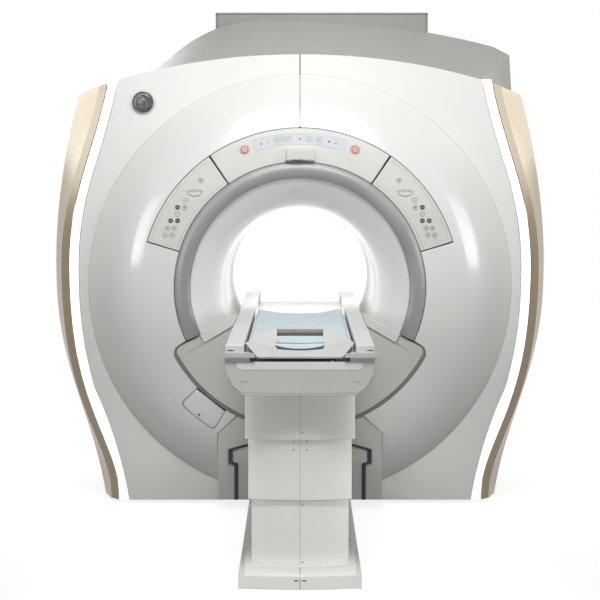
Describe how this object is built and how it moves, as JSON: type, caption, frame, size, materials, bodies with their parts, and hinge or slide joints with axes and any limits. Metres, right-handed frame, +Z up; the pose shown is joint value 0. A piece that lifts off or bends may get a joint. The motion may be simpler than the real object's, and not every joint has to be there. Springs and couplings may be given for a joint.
{
  "type": "mri scanner",
  "caption": "Wide-bore MRI scanner: a domed gantry round a flared bore, with a long patient table whose cradle slides into the bore and whose top lifts.",
  "frame": {"origin": "on the floor, under the middle of the whole machine's length and width", "axes": "+Z up, +Y along the bore from the patient table to the rear, +X to the right as seen from the patient end"},
  "size_m": [2.3218, 4.012, 2.332],
  "materials": {
    "cover_white": "satin gloss moulding",
    "side_gold": "satin champagne paint",
    "light_diffuser": "lit frosted strip",
    "fascia_grey": "fine satin moulding",
    "display_pale": "smooth printed film",
    "stop_red": "red ringed push button",
    "bore_white": "satin white liner",
    "seal_black": "matt black seal",
    "roof_grey": "matt warm grey paint",
    "badge_metal": "dark brushed disc",
    "vessel_steel": "brushed",
    "winding_copper": "wound wire",
    "coil_resin": "cast resin",
    "machined_alloy": "machined",
    "saddle_iron": "painted casting",
    "bridge_white": "satin paint",
    "cowl_grey": "satin moulding",
    "kick_grey": "satin moulding",
    "pedestal_grey": "satin paint",
    "base_grey": "satin paint",
    "lift_steel": "ground and plated",
    "nut_bronze": "machined",
    "rail_white": "satin white paint",
    "block_grey": "satin moulding",
    "housing_grey": "satin paint",
    "port_black": "black moulding",
    "belt_black": "toothed belt",
    "cradle_white": "gel coated laminate",
    "mattress_blue": "coated fabric",
    "handle_grey": "satin moulding"
  },
  "bodies": {
    "gantry": {"front_cover_left": "cover_white", "front_cover_right": "cover_white", "cowl_lip_left": "cover_white", "cowl_lip_right": "cover_white", "side_panel_left": "side_gold", "side_panel_right": "side_gold", "magnet_cover_left": "side_gold", "magnet_cover_right": "side_gold", "light_strip_left": "light_diffuser", "light_strip_right": "light_diffuser", "fascia_left": "fascia_grey", "fascia_centre": "fascia_grey", "fascia_right": "fascia_grey", "bore_ring": "fascia_grey", "alignment_light": "fascia_grey", "status_display": "display_pale", "bore_funnel": "bore_white", "bore_tube": "bore_white", "cowl_gasket": "seal_black", "dock_seal": "seal_black", "top_cover": "roof_grey", "turret_cover": "roof_grey", "turret_lid": "roof_grey", "rear_cover": "roof_grey", "badge": "badge_metal", "vacuum_vessel": "vessel_steel", "helium_vessel": "vessel_steel", "magnet_coils": "winding_copper", "gradient_coil": "coil_resin", "body_coil": "coil_resin", "cold_head": "machined_alloy", "magnet_saddle": "saddle_iron", "bore_bridge": "bridge_white", "lower_cowl": "cowl_grey", "kick_panel": "kick_grey", "lower_column_cover": "pedestal_grey", "table_base": "base_grey", "lift_column": "lift_steel"},
    "table_top": {"table_housing": "housing_grey", "side_rail_left": "rail_white", "side_rail_right": "rail_white", "end_block_left": "block_grey", "end_block_right": "block_grey", "coil_port_panel": "port_black", "upper_column_cover": "pedestal_grey", "lift_ram": "lift_steel", "lift_nut": "nut_bronze", "drive_belt": "belt_black"},
    "middle_cover": {"middle_column_cover": "pedestal_grey"},
    "lift_screw": {"lift_screw": "lift_steel"},
    "cradle": {"cradle": "cradle_white", "mattress": "mattress_blue", "cradle_end_cap": "cradle_white", "cradle_handle": "handle_grey"},
    "drive_pulley": {"drive_pulley": "machined_alloy"},
    "idler_pulley": {"idler_pulley": "machined_alloy"},
    "access_hatch": {"access_hatch": "cover_white"},
    "hatch_latch": {"hatch_latch": "cover_white"},
    "stop_button_left": {"stop_button_left": "stop_red"},
    "stop_button_right": {"stop_button_right": "stop_red"}
  },
  "joints": [
    {"name": "table_lift", "type": "slide", "parent": "gantry", "child": "table_top", "axis": [0, 0, 1], "range_m": [-0.25, 0]},
    {"name": "middle_cover_slide", "type": "slide", "parent": "gantry", "child": "middle_cover", "axis": [0, 0, 1], "range_m": [-0.125, 0]},
    {"name": "lift_screw_spin", "type": "hinge", "parent": "gantry", "child": "lift_screw", "pos_m": [0, -1.56, 0.2], "axis": [0, 0, 1], "range_deg": [0, 3601]},
    {"name": "cradle_travel", "type": "slide", "parent": "table_top", "child": "cradle", "axis": [0, 1, 0], "range_m": [0, 1.7]},
    {"name": "drive_pulley_spin", "type": "hinge", "parent": "table_top", "child": "drive_pulley", "pos_m": [0, -1.7, 0.806], "axis": [1, 0, 0], "range_deg": [-3260, 0]},
    {"name": "idler_pulley_spin", "type": "hinge", "parent": "table_top", "child": "idler_pulley", "pos_m": [0, 0.06, 0.806], "axis": [1, 0, 0], "range_deg": [-3260, 0]},
    {"name": "stop_button_left_push", "type": "slide", "parent": "gantry", "child": "stop_button_left", "axis": [0, 1, 0], "range_m": [0, 0.006], "stiffness_N_per_m": 1500},
    {"name": "stop_button_right_push", "type": "slide", "parent": "gantry", "child": "stop_button_right", "axis": [0, 1, 0], "range_m": [0, 0.006], "stiffness_N_per_m": 1500},
    {"name": "access_hatch_hinge", "type": "hinge", "parent": "gantry", "child": "access_hatch", "pos_m": [-0.41493, 0.211, 0.49649], "axis": [-0.7837, 0, 0.6211], "range_deg": [0, 85]},
    {"name": "hatch_latch_turn", "type": "hinge", "parent": "access_hatch", "child": "hatch_latch", "pos_m": [-0.46586, 0.22, 0.43223], "axis": [0, 1, 0], "range_deg": [0, 90]}
  ],
  "couplings": [
    {"joint": "middle_cover_slide", "follows": "table_lift", "ratio": 0.5},
    {"joint": "lift_screw_spin", "follows": "table_lift", "rad_per_m": -251.33},
    {"joint": "drive_pulley_spin", "follows": "cradle_travel", "rad_per_m": -33.333},
    {"joint": "idler_pulley_spin", "follows": "cradle_travel", "rad_per_m": -33.333}
  ]
}
